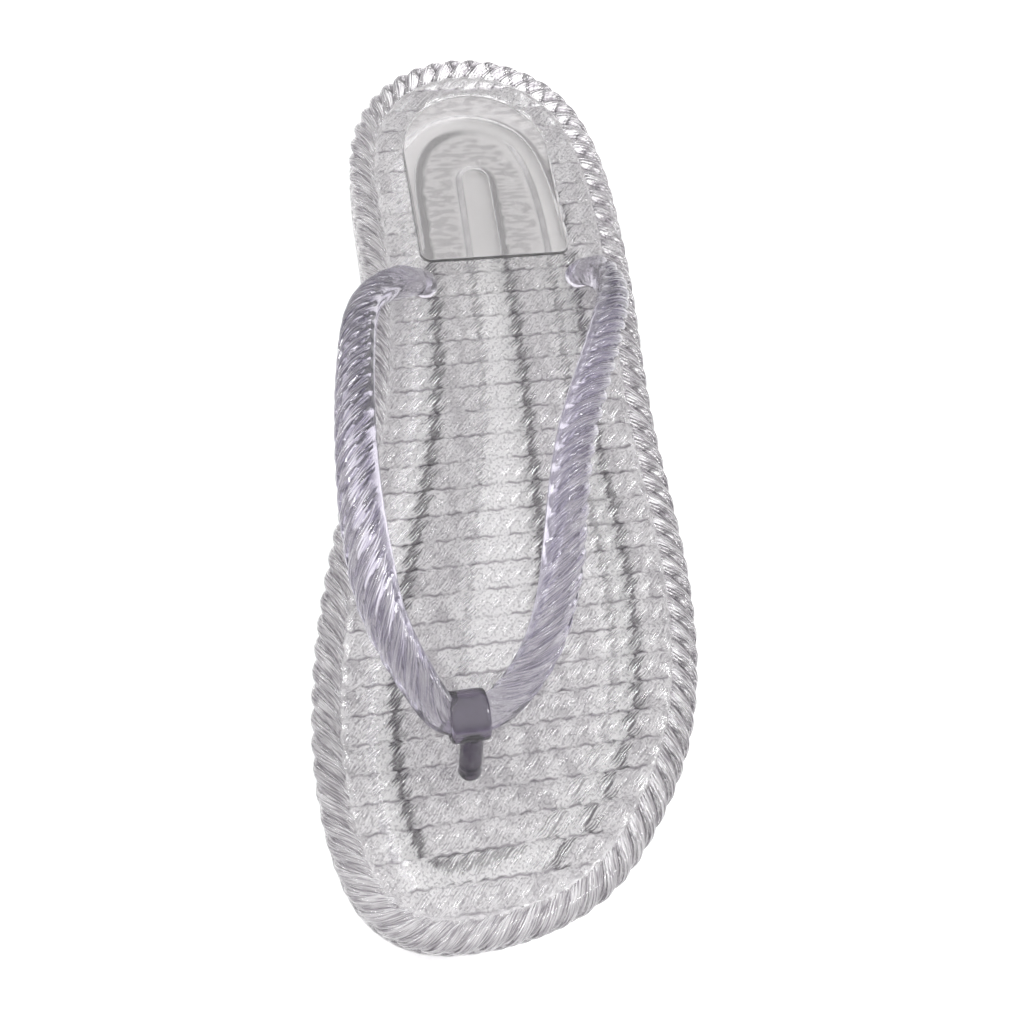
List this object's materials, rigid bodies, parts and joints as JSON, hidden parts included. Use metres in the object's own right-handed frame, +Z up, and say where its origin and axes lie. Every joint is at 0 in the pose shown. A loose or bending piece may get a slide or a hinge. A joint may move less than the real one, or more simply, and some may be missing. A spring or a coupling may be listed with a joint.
{
  "type": "jelly thong sandal, left",
  "caption": "Left thong sandal moulded in clear plastic, with a rope-textured sole, a V strap held by a toe ring and post, and a smooth window at the heel.",
  "frame": {"origin": "on the floor, under the middle of the sandal's box", "axes": "+Z up, -Y towards the toe, +Y towards the heel, +X towards the outer (little toe) side"},
  "size_m": [0.1056, 0.2574, 0.0591],
  "materials": {
    "clear_sole": "soft clear plastic, moulded with a rope texture, glossy",
    "clear_window": "soft clear plastic, polished",
    "clear_strap": "soft clear plastic with a faint lavender tint, moulded as a rope",
    "smoky_post": "soft plastic with a smoky violet tint, polished"
  },
  "bodies": {
    "root": {"sole": "clear_sole", "heel_window": "clear_window", "strap": "clear_strap", "toe_post": "smoky_post"}
  },
  "joints": []
}
